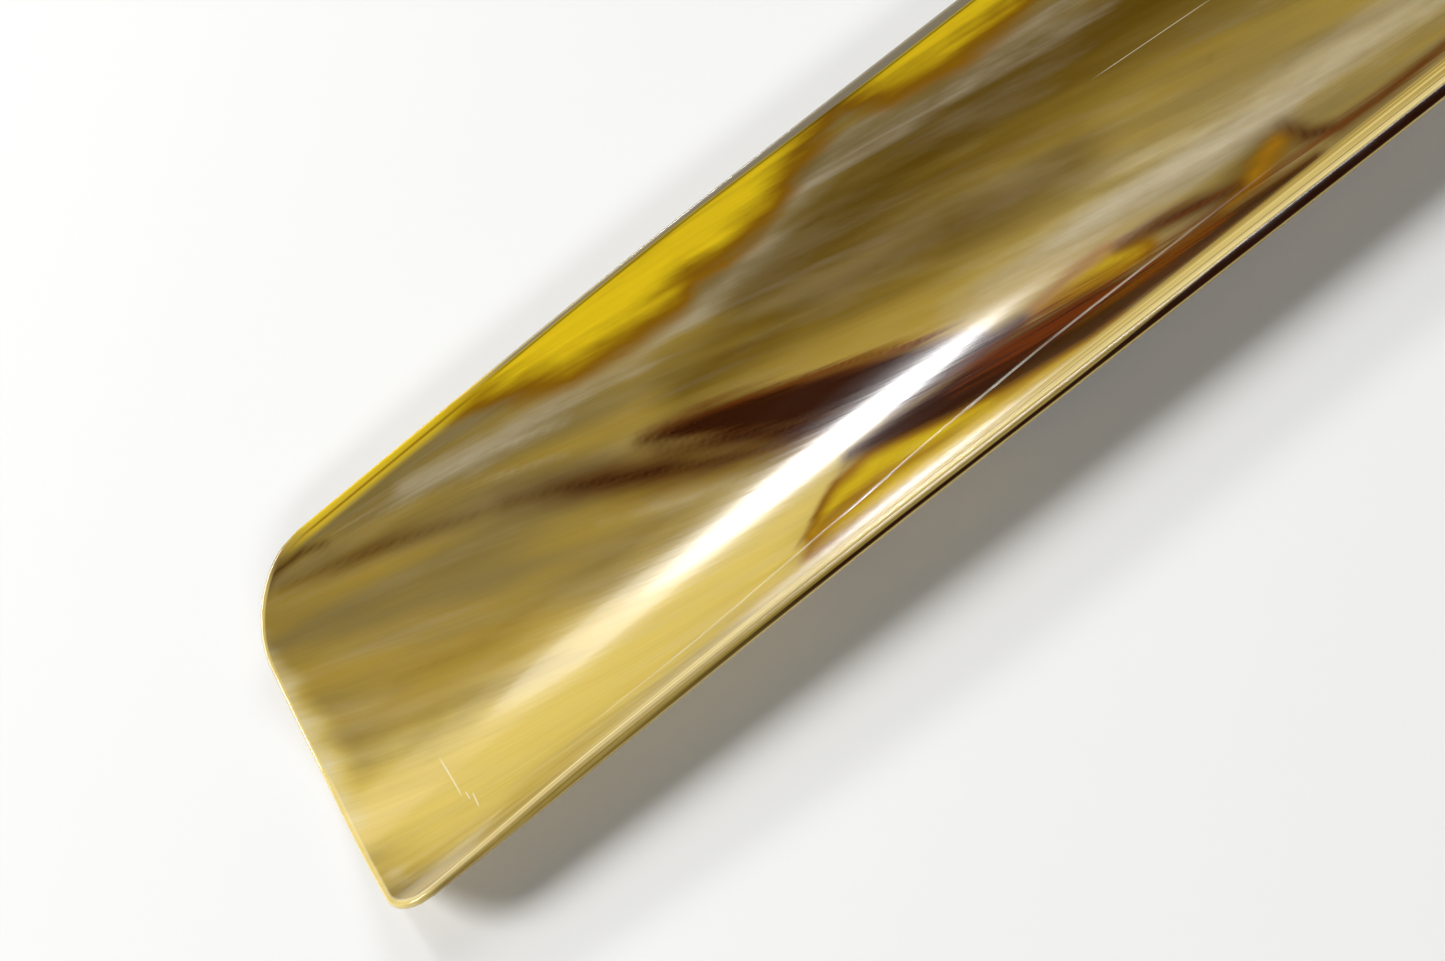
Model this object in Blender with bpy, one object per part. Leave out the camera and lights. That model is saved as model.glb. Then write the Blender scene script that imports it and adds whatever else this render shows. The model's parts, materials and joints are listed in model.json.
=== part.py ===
"""Ox-horn shoehorn with a brass eyelet and hanging ring.

The shoehorn lies on its back with its hollow side up. +X runs from the tip that goes
behind the heel to the handle end, and +Y is the side with the rounder tip corner.
All sizes are in metres, and distances called "along" are measured from the tip.
"""
import math

import bmesh
import bpy

# Driving dimensions of the horn strip
LENGTH = 0.300
TIP_WIDTH = 0.0462
HANDLE_WIDTH = 0.029
TAPER_POWER = 2.6           # how late along the strip the taper sets in
TIP_BOW = 0.0027            # how far the middle of the tip edge stands ahead of its sides
CORNER_RADIUS_LEFT = 0.0093  # tip corner on the +Y side
CORNER_RADIUS_RIGHT = 0.0045
REST_FLAT_WIDTH = 0.003     # narrow flat along the back, which the shoehorn lies on

# Curvature of the cross-section, as a radius, and where it changes along the strip
TIP_SECTION_RADIUS = 0.041
MIDDLE_SECTION_RADIUS = 0.0345
HANDLE_SECTION_RADIUS = 0.080
TIP_FLATTENING_LENGTH = 0.070
HANDLE_FLATTENING_START = 0.190
HANDLE_FLATTENING_END = 0.280

# Lengthwise line of the back
HANDLE_LIFT = 0.0101
HANDLE_LIFT_START = 0.180
HANDLE_LIFT_END = 0.284

# Wall thickness at the centre line, and how much thinner the rims are
TIP_THICKNESS = 0.0010
MIDDLE_THICKNESS = 0.0022
HANDLE_THICKNESS = 0.0030
TIP_THINNING_LENGTH = 0.030
HANDLE_THICKENING_START = 0.150
HANDLE_THICKENING_END = 0.270
RIM_THINNING = 0.30
EDGE_ROUNDING = 0.0003

# Brass fittings
GAP = 0.0003                # clearance between neighbouring pieces
HOLE_FROM_END = 0.010
EYELET_BORE_RADIUS = 0.0027
EYELET_WALL = 0.0006
EYELET_FLANGE_RADIUS = 0.0050
EYELET_FLANGE_THICKNESS = 0.0006
EYELET_LIP_RADIUS = 0.0044
WASHER_THICKNESS = 0.0005
RING_RADIUS = 0.010         # to the middle of the wire
WIRE_RADIUS = 0.001
RING_SEAM = 0.0004          # the open butt joint of the bent wire

# Mesh fineness
STATIONS = 44
COLUMNS_PER_SIDE = 10
TURN_SEGMENTS = 32
RING_SEGMENTS = 48

# Places that follow from the dimensions above
RING_END = LENGTH - HOLE_FROM_END + 2 * RING_RADIUS + WIRE_RADIUS
ORIGIN_ALONG = RING_END / 2
HOLE_X = LENGTH - HOLE_FROM_END - ORIGIN_ALONG
EYELET_BARREL_RADIUS = EYELET_BORE_RADIUS + EYELET_WALL
HOLE_RADIUS = EYELET_BARREL_RADIUS + GAP


def ease(value, start, end):
    """Goes smoothly from 0 at start to 1 at end."""
    share = min(max((value - start) / (end - start), 0.0), 1.0)
    return share * share * (3.0 - 2.0 * share)


def half_width(along):
    """Half the width of the strip, taken straight across from rim to rim."""
    return (TIP_WIDTH - (TIP_WIDTH - HANDLE_WIDTH) * (along / LENGTH) ** TAPER_POWER) / 2


def section_radius(along):
    """Radius of the round back in cross-section."""
    middle = 1 / MIDDLE_SECTION_RADIUS
    curvature = 1 / TIP_SECTION_RADIUS
    curvature += (middle - curvature) * ease(along, 0.0, TIP_FLATTENING_LENGTH)
    flattening = ease(along, HANDLE_FLATTENING_START, HANDLE_FLATTENING_END)
    curvature += (1 / HANDLE_SECTION_RADIUS - middle) * flattening
    return 1 / curvature


def back_lift(along):
    """Height of the back's flat above the table."""
    return HANDLE_LIFT * ease(along, HANDLE_LIFT_START, HANDLE_LIFT_END)


def centre_thickness(along):
    """Wall thickness on the centre line."""
    thickness = TIP_THICKNESS
    thickness += (MIDDLE_THICKNESS - TIP_THICKNESS) * ease(along, 0.0, TIP_THINNING_LENGTH)
    thickening = ease(along, HANDLE_THICKENING_START, HANDLE_THICKENING_END)
    return thickness + (HANDLE_THICKNESS - MIDDLE_THICKNESS) * thickening


def tip_outline(across):
    """Distance along at which the strip starts; across is -1 to 1, from rim to rim."""
    radius = CORNER_RADIUS_LEFT if across > 0 else CORNER_RADIUS_RIGHT
    corner = radius / half_width(0.0)
    into_corner = min(max((abs(across) - (1.0 - corner)) / corner, 0.0), 1.0)
    return TIP_BOW * across ** 2 + radius * (1.0 - math.sqrt(1.0 - into_corner ** 2))


def handle_outline(across):
    """Distance along at which the half-round handle end closes the strip."""
    return LENGTH - HANDLE_WIDTH / 2 * (1.0 - math.sqrt(1.0 - across ** 2))


def back_point(across, share):
    """A point on the back; share is 0 at the tip outline and 1 at the handle outline."""
    start = tip_outline(across)
    along = start + (handle_outline(across) - start) * share
    flat = REST_FLAT_WIDTH / 2
    side = math.copysign(flat + (half_width(along) - flat) * abs(across), across)
    radius = section_radius(along)
    height = math.sqrt(radius ** 2 - flat ** 2) - math.sqrt(radius ** 2 - side ** 2)
    return along, side, back_lift(along) + height


def across_positions():
    """Columns of points from rim to rim, closer together towards the rims."""
    one_side = []
    for index in range(COLUMNS_PER_SIDE + 1):
        share = index / COLUMNS_PER_SIDE
        one_side.append(0.25 * share + 0.75 * math.sin(share * math.pi / 2))
    one_side[0] = 1e-9      # just either side of the middle, so that its sign picks the side
    return [-value for value in reversed(one_side)] + one_side


def station_positions():
    """Shares from tip to handle end, closer together at both ends."""
    steps = [index / STATIONS for index in range(STATIONS + 1)]
    return [step - 0.5 * math.sin(2 * math.pi * step) / (2 * math.pi) for step in steps]


def make_material(name, colour, roughness, metallic):
    material = bpy.data.materials.new(name)
    material.use_nodes = True
    shader = material.node_tree.nodes["Principled BSDF"]
    shader.inputs["Base Color"].default_value = (*colour, 1.0)
    shader.inputs["Roughness"].default_value = roughness
    shader.inputs["Metallic"].default_value = metallic
    return material


def add_object(name, mesh, material=None):
    piece = bpy.data.objects.new(name, mesh)
    bpy.context.scene.collection.objects.link(piece)
    if material is not None:
        mesh.materials.append(material)
    return piece


def make_horn_blade(material):
    """The pressed horn strip: its curved back, thickened inwards, with rounded edges."""
    shape = bmesh.new()
    columns = across_positions()
    stations = station_positions()
    rows = []
    weights = []
    for share in stations:
        row = []
        for across in columns:
            along, side, height = back_point(across, share)
            row.append(shape.verts.new((along - ORIGIN_ALONG, side, height)))
            thickness = centre_thickness(along) * (1.0 - RIM_THINNING * across ** 2)
            weights.append(thickness / HANDLE_THICKNESS)
        rows.append(row)
    for near, far in zip(rows, rows[1:]):
        for column in range(len(columns) - 1):
            shape.faces.new((near[column], near[column + 1], far[column + 1], far[column]))
    bmesh.ops.recalc_face_normals(shape, faces=shape.faces)
    shape.faces.ensure_lookup_table()
    if shape.faces[0].normal.z > 0:
        bmesh.ops.reverse_faces(shape, faces=shape.faces)
    mesh = bpy.data.meshes.new("horn_blade")
    shape.to_mesh(mesh)
    shape.free()
    blade = add_object("horn_blade", mesh, material)

    group = blade.vertex_groups.new(name="thickness")
    for index, weight in enumerate(weights):
        group.add([index], weight, "REPLACE")
    wall = blade.modifiers.new("wall", "SOLIDIFY")
    wall.thickness = HANDLE_THICKNESS
    wall.offset = -1.0
    wall.vertex_group = "thickness"
    edges = blade.modifiers.new("rounded_edges", "BEVEL")
    edges.width = EDGE_ROUNDING
    edges.segments = 2
    edges.limit_method = "ANGLE"
    edges.angle_limit = math.radians(50)
    edges.use_clamp_overlap = False
    hole = blade.modifiers.new("hanging_hole", "BOOLEAN")
    hole.operation = "DIFFERENCE"
    hole.object = make_hole_cutter()
    mesh.shade_smooth()
    return blade


def make_hole_cutter():
    shape = bmesh.new()
    bmesh.ops.create_cone(
        shape, cap_ends=True, segments=TURN_SEGMENTS,
        radius1=HOLE_RADIUS, radius2=HOLE_RADIUS, depth=0.02,
    )
    mesh = bpy.data.meshes.new("hole_cutter")
    shape.to_mesh(mesh)
    shape.free()
    cutter = add_object("hole_cutter", mesh)
    cutter.location = (HOLE_X, 0.0, HANDLE_LIFT)
    cutter.hide_render = True
    cutter.display_type = "WIRE"
    return cutter


def make_turned_piece(name, outline, material):
    """A ring-shaped piece turned about the hole's axis from (radius, height) points."""
    shape = bmesh.new()
    corners = [shape.verts.new((radius, 0.0, height)) for radius, height in outline]
    loop = [
        shape.edges.new((corner, corners[(index + 1) % len(corners)]))
        for index, corner in enumerate(corners)
    ]
    bmesh.ops.spin(
        shape, geom=corners + loop, cent=(0.0, 0.0, 0.0), axis=(0.0, 0.0, 1.0),
        angle=2 * math.pi, steps=TURN_SEGMENTS, use_merge=True,
    )
    bmesh.ops.remove_doubles(shape, verts=shape.verts, dist=1e-6)
    bmesh.ops.recalc_face_normals(shape, faces=shape.faces)
    mesh = bpy.data.meshes.new(name)
    shape.to_mesh(mesh)
    shape.free()
    mesh.shade_smooth()
    mesh.set_sharp_from_angle(angle=math.radians(40))
    piece = add_object(name, mesh, material)
    piece.location = (HOLE_X, 0.0, 0.0)
    return piece


def make_eyelet(material):
    """Flanged barrel pushed in from the hollow side and rolled over behind the washer."""
    flange_seat = HANDLE_LIFT + HANDLE_THICKNESS + 2 * GAP
    flange_top = flange_seat + EYELET_FLANGE_THICKNESS
    lip_top = HANDLE_LIFT - 2 * GAP - WASHER_THICKNESS
    lip_bottom = lip_top - EYELET_WALL
    round_over = EYELET_WALL / 2
    outline = [
        (EYELET_BORE_RADIUS, flange_top - round_over),
        (EYELET_BORE_RADIUS + round_over, flange_top),
        (EYELET_FLANGE_RADIUS - round_over, flange_top),
        (EYELET_FLANGE_RADIUS, flange_top - round_over),
        (EYELET_FLANGE_RADIUS, flange_seat),
        (EYELET_BARREL_RADIUS, flange_seat),
        (EYELET_BARREL_RADIUS, lip_top),
        (EYELET_LIP_RADIUS, lip_top),
        (EYELET_LIP_RADIUS, lip_bottom + round_over),
        (EYELET_LIP_RADIUS - round_over, lip_bottom),
        (EYELET_BORE_RADIUS + round_over, lip_bottom),
        (EYELET_BORE_RADIUS, lip_bottom + round_over),
    ]
    return make_turned_piece("eyelet", outline, material)


def make_eyelet_washer(material):
    """Flat washer between the horn's back and the eyelet's rolled lip."""
    top = HANDLE_LIFT - GAP
    bottom = top - WASHER_THICKNESS
    outline = [
        (HOLE_RADIUS, top),
        (EYELET_FLANGE_RADIUS, top),
        (EYELET_FLANGE_RADIUS, bottom),
        (HOLE_RADIUS, bottom),
    ]
    return make_turned_piece("eyelet_washer", outline, material)


def make_hanging_ring(material):
    """Wire ring through the eyelet; its origin is on the hole's axis, which it swings about."""
    curve = bpy.data.curves.new("hanging_ring", "CURVE")
    curve.dimensions = "3D"
    curve.bevel_depth = WIRE_RADIUS
    curve.bevel_resolution = 3
    curve.use_fill_caps = True
    wire = curve.splines.new("POLY")
    wire.points.add(RING_SEGMENTS)
    seam_angle = RING_SEAM / RING_RADIUS
    for index, point in enumerate(wire.points):
        angle = seam_angle / 2 + (2 * math.pi - seam_angle) * index / RING_SEGMENTS
        x = RING_RADIUS + RING_RADIUS * math.cos(angle)
        point.co = (x, 0.0, RING_RADIUS * math.sin(angle), 1.0)
    ring = bpy.data.objects.new("hanging_ring", curve)
    bpy.context.scene.collection.objects.link(ring)
    curve.materials.append(material)
    ring.location = (HOLE_X, 0.0, HANDLE_LIFT + HANDLE_THICKNESS / 2)
    return ring


def main():
    for item in list(bpy.data.objects):
        bpy.data.objects.remove(item)
    horn = make_material("polished_horn", (0.42, 0.30, 0.12), 0.12, 0.0)
    brass = make_material("brass", (0.78, 0.57, 0.22), 0.25, 1.0)
    make_horn_blade(horn)
    make_eyelet(brass)
    make_eyelet_washer(brass)
    make_hanging_ring(brass)


main()
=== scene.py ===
"""Looks of a polished ox-horn shoehorn with a brass eyelet and hanging ring.

Places on the horn are given in millimetres: "along" from the tip towards the handle end, and
"across" from the centre line towards the rim with the rounder tip corner.
"""
import json
import math

import bmesh
import bpy
import numpy as np
from mathutils import Matrix, Vector
from mathutils.kdtree import KDTree


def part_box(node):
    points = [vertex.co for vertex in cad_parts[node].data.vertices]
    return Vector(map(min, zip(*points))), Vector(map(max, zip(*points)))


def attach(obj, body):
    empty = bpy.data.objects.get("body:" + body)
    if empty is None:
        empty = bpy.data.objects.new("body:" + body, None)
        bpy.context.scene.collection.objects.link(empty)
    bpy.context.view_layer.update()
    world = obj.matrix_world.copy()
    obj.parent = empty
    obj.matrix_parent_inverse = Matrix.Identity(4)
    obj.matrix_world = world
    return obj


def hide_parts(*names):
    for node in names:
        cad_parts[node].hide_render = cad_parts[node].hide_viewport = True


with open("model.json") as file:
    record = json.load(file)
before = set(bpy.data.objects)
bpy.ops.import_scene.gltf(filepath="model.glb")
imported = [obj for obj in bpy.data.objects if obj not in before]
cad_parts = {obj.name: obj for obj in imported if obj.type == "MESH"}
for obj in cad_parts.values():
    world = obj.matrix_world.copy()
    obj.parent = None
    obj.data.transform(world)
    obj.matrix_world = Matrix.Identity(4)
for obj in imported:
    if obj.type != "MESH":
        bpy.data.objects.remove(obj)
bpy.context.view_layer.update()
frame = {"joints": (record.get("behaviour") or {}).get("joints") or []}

MM = 0.001

# Clearance between neighbouring pieces, in millimetres
GAP = 0.3

# Places from the frame; the length and the lift of the handle end are in millimetres
TIP_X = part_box("horn_blade")[0].x
LENGTH = (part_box("horn_blade")[1].x - TIP_X) / MM
HOLE = Vector(frame["joints"][0]["pos_m"])
HANDLE_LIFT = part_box("eyelet_washer")[1].z / MM + GAP

# The horn strip, as in the CAD model, in millimetres
TIP_WIDTH = 46.2
HANDLE_WIDTH = 29.0
TAPER_POWER = 2.6
TIP_BOW = 2.7
CORNER_RADIUS_LEFT = 9.3
CORNER_RADIUS_RIGHT = 4.5
REST_FLAT_WIDTH = 3.0
TIP_SECTION_RADIUS = 41.0
MIDDLE_SECTION_RADIUS = 34.5
HANDLE_SECTION_RADIUS = 80.0
TIP_FLATTENING_LENGTH = 70.0
HANDLE_FLATTENING_START = 190.0
HANDLE_FLATTENING_END = 280.0
HANDLE_LIFT_START = 180.0
HANDLE_LIFT_END = 284.0
TIP_THICKNESS = 1.0
MIDDLE_THICKNESS = 2.2
HANDLE_THICKNESS = 3.0
TIP_THINNING_LENGTH = 30.0
HANDLE_THICKENING_START = 150.0
HANDLE_THICKENING_END = 270.0
RIM_THINNING = 0.30

# The rims are rounded here, where the CAD model has a narrow bevel
EDGE_ROUNDING = 0.32

# The brass fittings, as in the CAD model, in millimetres
EYELET_BORE_RADIUS = 2.7
EYELET_WALL = 0.6
EYELET_BARREL_RADIUS = EYELET_BORE_RADIUS + EYELET_WALL
EYELET_FLANGE_RADIUS = 5.0
EYELET_FLANGE_THICKNESS = 0.6
EYELET_LIP_RADIUS = 4.4
HOLE_RADIUS = EYELET_BARREL_RADIUS + GAP
RING_RADIUS = 10.0
WIRE_RADIUS = 1.0
RING_SEAM = 0.4

# Mesh fineness
STATIONS = 420
COLUMNS_PER_SIDE = 42
MIDDLE_COLUMNS = 7
EDGE_STEPS = 4
ARC_STEPS = 6
HOLE_SIDES = 96
TURN_SEGMENTS = 128
RING_SEGMENTS = 180
WIRE_SEGMENTS = 28


# ---------------------------------------------------------------- shape of the horn strip

def ease(value, start, end):
    """Goes smoothly from 0 at start to 1 at end."""
    share = np.clip((value - start) / (end - start), 0.0, 1.0)
    return share * share * (3.0 - 2.0 * share)


def half_width(along):
    taper = (TIP_WIDTH - HANDLE_WIDTH) * np.clip(along / LENGTH, 0.0, 1.0) ** TAPER_POWER
    return (TIP_WIDTH - taper) / 2 - EDGE_ROUNDING


def section_radius(along):
    middle = 1 / MIDDLE_SECTION_RADIUS
    curvature = 1 / TIP_SECTION_RADIUS
    curvature = curvature + (middle - curvature) * ease(along, 0.0, TIP_FLATTENING_LENGTH)
    flattening = ease(along, HANDLE_FLATTENING_START, HANDLE_FLATTENING_END)
    curvature = curvature + (1 / HANDLE_SECTION_RADIUS - middle) * flattening
    return 1 / curvature


def back_lift(along):
    return HANDLE_LIFT * ease(along, HANDLE_LIFT_START, HANDLE_LIFT_END)


def wall_thickness(along, across_share):
    thinning = ease(along, 0.0, TIP_THINNING_LENGTH)
    thickness = TIP_THICKNESS + (MIDDLE_THICKNESS - TIP_THICKNESS) * thinning
    thickening = ease(along, HANDLE_THICKENING_START, HANDLE_THICKENING_END)
    thickness = thickness + (HANDLE_THICKNESS - MIDDLE_THICKNESS) * thickening
    return thickness * (1.0 - RIM_THINNING * across_share ** 2)


def tip_outline(share):
    radius = np.where(share > 0, CORNER_RADIUS_LEFT, CORNER_RADIUS_RIGHT) - EDGE_ROUNDING
    corner = radius / half_width(0.0)
    into_corner = np.clip((np.abs(share) - (1.0 - corner)) / corner, 0.0, 1.0)
    return EDGE_ROUNDING + TIP_BOW * share ** 2 + radius * (1.0 - np.sqrt(1.0 - into_corner ** 2))


def handle_outline(share):
    radius = HANDLE_WIDTH / 2 - EDGE_ROUNDING
    return LENGTH - EDGE_ROUNDING - radius * (1.0 - np.sqrt(1.0 - share ** 2))


def across_columns():
    """Columns from rim to rim: places over the flat middle, then how far up the curved sides."""
    steps = np.linspace(0.0, 1.0, COLUMNS_PER_SIDE + 1)
    one_side = 0.5 * steps + 0.5 * np.sin(steps * math.pi / 2)
    middle = np.linspace(-1.0, 1.0, MIDDLE_COLUMNS + 2)[1:-1]
    over_flat = np.concatenate([np.full(len(steps), -1.0), middle, np.full(len(steps), 1.0)])
    up_side = np.concatenate([-one_side[::-1], np.zeros(MIDDLE_COLUMNS), one_side])
    return over_flat, up_side


def along_shares():
    steps = np.linspace(0.0, 1.0, STATIONS + 1)
    return steps - 0.25 * np.sin(2 * math.pi * steps) / (2 * math.pi)


def horn_surface():
    """Grids of the outer surface's points, its inward normals and the wall's thickness."""
    over_flat, up_side = across_columns()
    share_across, share_along = np.meshgrid(up_side, along_shares())
    start = tip_outline(share_across)
    along = start + (handle_outline(share_across) - start) * share_along
    flat = REST_FLAT_WIDTH / 2
    side = flat * over_flat + (half_width(along) - flat) * share_across
    radius = section_radius(along)
    curved = np.maximum(np.abs(side), flat)
    height = np.sqrt(radius ** 2 - flat ** 2) - np.sqrt(radius ** 2 - curved ** 2)
    points = np.stack([along, side, height + back_lift(along)], axis=-1)
    tangent_along = np.gradient(points, axis=0)
    tangent_across = np.gradient(points, axis=1)
    normals = np.cross(tangent_along, tangent_across)
    normals /= np.linalg.norm(normals, axis=-1, keepdims=True)
    return points, normals, wall_thickness(along, share_across)


def outline_loop(rows, columns):
    """Grid indices of the outline, once round."""
    tip = [(0, column) for column in range(columns)]
    left = [(row, columns - 1) for row in range(1, rows)]
    handle = [(rows - 1, column) for column in range(columns - 2, -1, -1)]
    right = [(row, 0) for row in range(rows - 2, 0, -1)]
    return np.array(tip + left + handle + right)


def edge_profile():
    """The rim in section: steps outwards, and up the wall as shares of its two rounded edges."""
    steps = []
    for index in range(1, EDGE_STEPS + 1):
        angle = math.pi / 2 * index / EDGE_STEPS
        steps.append((math.sin(angle), 1.0 - math.cos(angle), 0.0))
    for index in range(EDGE_STEPS):
        angle = math.pi / 2 * index / EDGE_STEPS
        steps.append((math.cos(angle), math.sin(angle) - 1.0, 1.0))
    return steps


def rim_rings(points, normals, thickness, loop):
    """Rows of points round the outline that make its rounded rim, from the outer face inwards."""
    edge = points[loop[:, 0], loop[:, 1]]
    edge_normal = normals[loop[:, 0], loop[:, 1]]
    edge_thickness = thickness[loop[:, 0], loop[:, 1]][:, None]
    tangent = np.roll(edge, -1, axis=0) - np.roll(edge, 1, axis=0)
    outward = np.cross(edge_normal, tangent)
    outward /= np.linalg.norm(outward, axis=-1, keepdims=True)
    rows, columns = thickness.shape
    middle = points[rows // 2, columns // 2]
    if np.sum(outward[0] * (edge[0] - middle)) < 0:
        outward = -outward
    rims = []
    for out, up, share in edge_profile():
        rim = edge + outward * EDGE_ROUNDING * out
        rim = rim + edge_normal * (EDGE_ROUNDING * up + edge_thickness * share)
        rims.append(rim)
    return rims


def blade_faces(rows, columns, loop, rim_count):
    """Four-sided faces of the outer face, the inner face and the rim between them."""
    count = rows * columns
    grid = np.arange(count).reshape(rows, columns)
    quads = np.stack([grid[:-1, :-1], grid[:-1, 1:], grid[1:, 1:], grid[1:, :-1]], -1).reshape(-1, 4)
    loop_index = loop[:, 0] * columns + loop[:, 1]
    rings = [loop_index]
    for index in range(rim_count):
        rings.append(2 * count + index * len(loop) + np.arange(len(loop)))
    rings.append(count + loop_index)
    faces = [quads[:, ::-1], quads + count]
    for lower, upper in zip(rings, rings[1:]):
        faces.append(np.stack([lower, np.roll(lower, -1), np.roll(upper, -1), upper], -1))
    return np.concatenate(faces)


def make_fine_blade():
    """The horn strip in high quality, with rounded rims all the way round."""
    points, normals, thickness = horn_surface()
    rows, columns = thickness.shape
    outer = points.reshape(-1, 3)
    inner = (points + normals * thickness[..., None]).reshape(-1, 3)
    loop = outline_loop(rows, columns)
    rims = rim_rings(points, normals, thickness, loop)
    vertices = np.concatenate([outer, inner] + rims) * MM + [TIP_X, 0.0, 0.0]
    faces = blade_faces(rows, columns, loop, len(rims))
    mesh = bpy.data.meshes.new("horn_fine")
    mesh.from_pydata(vertices.tolist(), [], faces.tolist())
    mesh.shade_smooth()
    blade = bpy.data.objects.new("horn_fine", mesh)
    bpy.context.scene.collection.objects.link(blade)
    return blade


def cut_hanging_hole(blade):
    cutter_length = 20.0
    bpy.ops.mesh.primitive_cylinder_add(
        vertices=HOLE_SIDES, radius=HOLE_RADIUS * MM, depth=cutter_length * MM, location=HOLE,
    )
    cutter = bpy.context.object
    cut = blade.modifiers.new("hanging_hole", "BOOLEAN")
    cut.operation = "DIFFERENCE"
    cut.object = cutter
    bpy.context.view_layer.objects.active = blade
    bpy.ops.object.modifier_apply(modifier=cut.name)
    bpy.data.objects.remove(cutter)


# ---------------------------------------------------------------- pigment painted on the horn

# How far the fibres lean across the strip for each step along it, and over which length
GRAIN_SLANT = 0.45
GRAIN_SLANT_LENGTH = 220.0

# How much cover two strokes may differ by and still run into each other
STROKE_MERGE = 0.3

# Each stroke is a soft brush line: how softly it fades out and how strong it is, then
# places along it as (along, across, half width).
DARK_STROKES = [
    (0.7, 1.00, [(4.4, 20.3, 0.05), (7, 21.3, 0.25), (11.0, 21.3, 0.20), (14.0, 20.4, 0.0)]),
    (2.0, 0.80, [(7, 20.0, 0.2), (13, 18.4, 0.9), (20, 16.2, 1.0), (28, 13.4, 0.5),
        (33, 11.8, 0.1)]),
    (2.8, 1.00, [(32, 12.0, 0.2), (37, 9.9, 1.0), (42, 7.0, 1.7), (47, 3.9, 1.8), (52, 0.8, 1.3),
        (60, -3.8, 0.5)]),
    (1.3, 1.15, [(46.8, 8.3, 0.0), (50, 7.0, 0.7), (54, 5.0, 1.4), (58, 2.6, 1.9),
        (63, -0.2, 2.2), (68, -3.0, 2.4), (74, -6.4, 2.4), (80, -9.0, 1.8)]),
    (3.0, 1.05, [(48, 6.0, 0.2), (56, 1.0, 1.4), (61, -2.6, 1.8), (67, -5.8, 1.4)]),
    (1.2, 1.00, [(70, -8.8, 0.8), (78, -9.6, 1.4), (85, -10.2, 0.8)]),
    (1.2, 1.10, [(64, -10.3, 0.5), (69, -11.3, 1.4), (75, -13.0, 2.2), (82, -14.4, 3.0),
        (90, -16.2, 3.0), (100, -17.8, 1.6), (110, -18.4, 1.0), (116, -18.6, 0.4)]),
    (1.0, 0.70, [(63.5, -10.9, 0.2), (59, -14.0, 0.3), (55, -17.0, 0.2)]),
    (1.2, 0.50, [(53.5, -18.5, 0.1), (49, -20.8, 0.3)]),
    (1.6, 1.00, [(97, -10.4, 0.3), (101, -11.4, 0.9), (105, -12.9, 1.0), (109, -14.6, 0.5)]),
    (1.0, 0.80, [(98, -14.6, 0.3), (104, -15.6, 0.5), (109, -15.4, 0.2)]),
    (1.6, 0.95, [(115.8, -11.0, 0.1), (117.0, -14.8, 0.9), (119.5, -17.0, 1.0), (124, -17.4, 0.8),
        (133, -16.8, 0.5)]),
    (2.2, 0.90, [(140, 13.5, 0.0), (156, 9.0, 1.0), (174, 3.2, 1.8), (194, -2.6, 1.6),
        (228, -9.0, 0.0)]),
    (1.5, 1.10, [(163, -12.5, 0.0), (178, -13.2, 1.3), (200, -12.8, 1.9), (224, -11.6, 1.7),
        (262, -9.8, 0.0)]),
    (1.7, 0.90, [(206, 8.6, 0.0), (222, 6.0, 0.9), (242, 2.8, 1.4), (262, 1.0, 0.9),
        (276, 0.4, 0.0)]),
]
RUST_STROKES = [
    (2.0, 1.10, [(77, -11.6, 0.4), (84, -12.8, 1.3), (91, -14.0, 1.7), (98, -15.8, 1.3),
        (105, -17.2, 0.5)]),
    (1.0, 0.90, [(47, 8.9, 0.0), (54, 6.6, 0.3), (62, 3.4, 0.4), (71, -0.9, 0.4), (80, -5.8, 0.4)]),
    (1.2, 0.80, [(98, -10.2, 0.3), (104, -12.4, 0.5), (109, -14.2, 0.3)]),
    (1.4, 0.80, [(110, -16.4, 0.4), (118, -17.0, 0.7), (127, -17.4, 0.6), (138, -17.0, 0.3)]),
    (2.0, 0.62, [(86.0, 4.6, 0.3), (88.6, 5.6, 0.9), (91.0, 6.2, 0.3)]),
    (2.0, 0.80, [(150, 10.4, 0.2), (172, 3.8, 0.8), (196, -3.4, 0.6)]),
    (2.0, 0.90, [(170, -12.0, 0.2), (196, -11.0, 1.2), (226, -10.0, 1.0), (250, -9.0, 0.4)]),
]
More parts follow.
